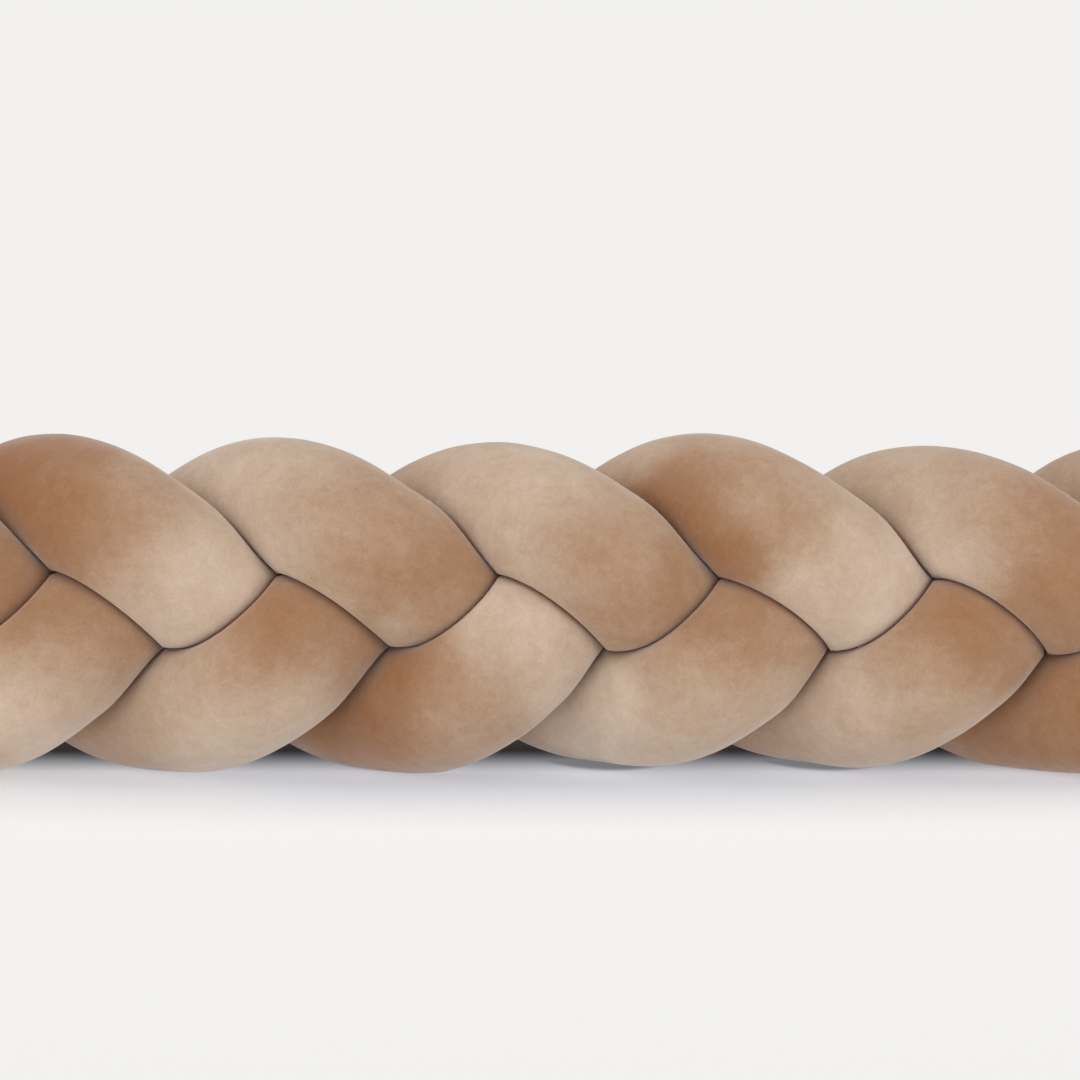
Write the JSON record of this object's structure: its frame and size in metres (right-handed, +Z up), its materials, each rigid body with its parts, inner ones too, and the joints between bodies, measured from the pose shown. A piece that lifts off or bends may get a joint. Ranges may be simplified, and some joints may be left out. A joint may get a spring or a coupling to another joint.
{
  "type": "braided crib bumper",
  "caption": "thick flat plait of stuffed velvet tubes that stands on its long edge as a soft lining for a crib side",
  "frame": {"origin": "under the middle of the plait's length and thickness, on the surface it stands on", "axes": "+X runs along the plait to the right as seen from its front, +Y points to its back and +Z points up; the front faces -Y"},
  "size_m": [1.2, 0.1466, 0.202],
  "materials": {
    "velvet": "short soft pile, brushed unevenly, so that it is pale in places and deep tan in others"
  },
  "bodies": {
    "root": {"strand_a": "velvet", "strand_b": "velvet", "strand_c": "velvet"}
  },
  "joints": []
}
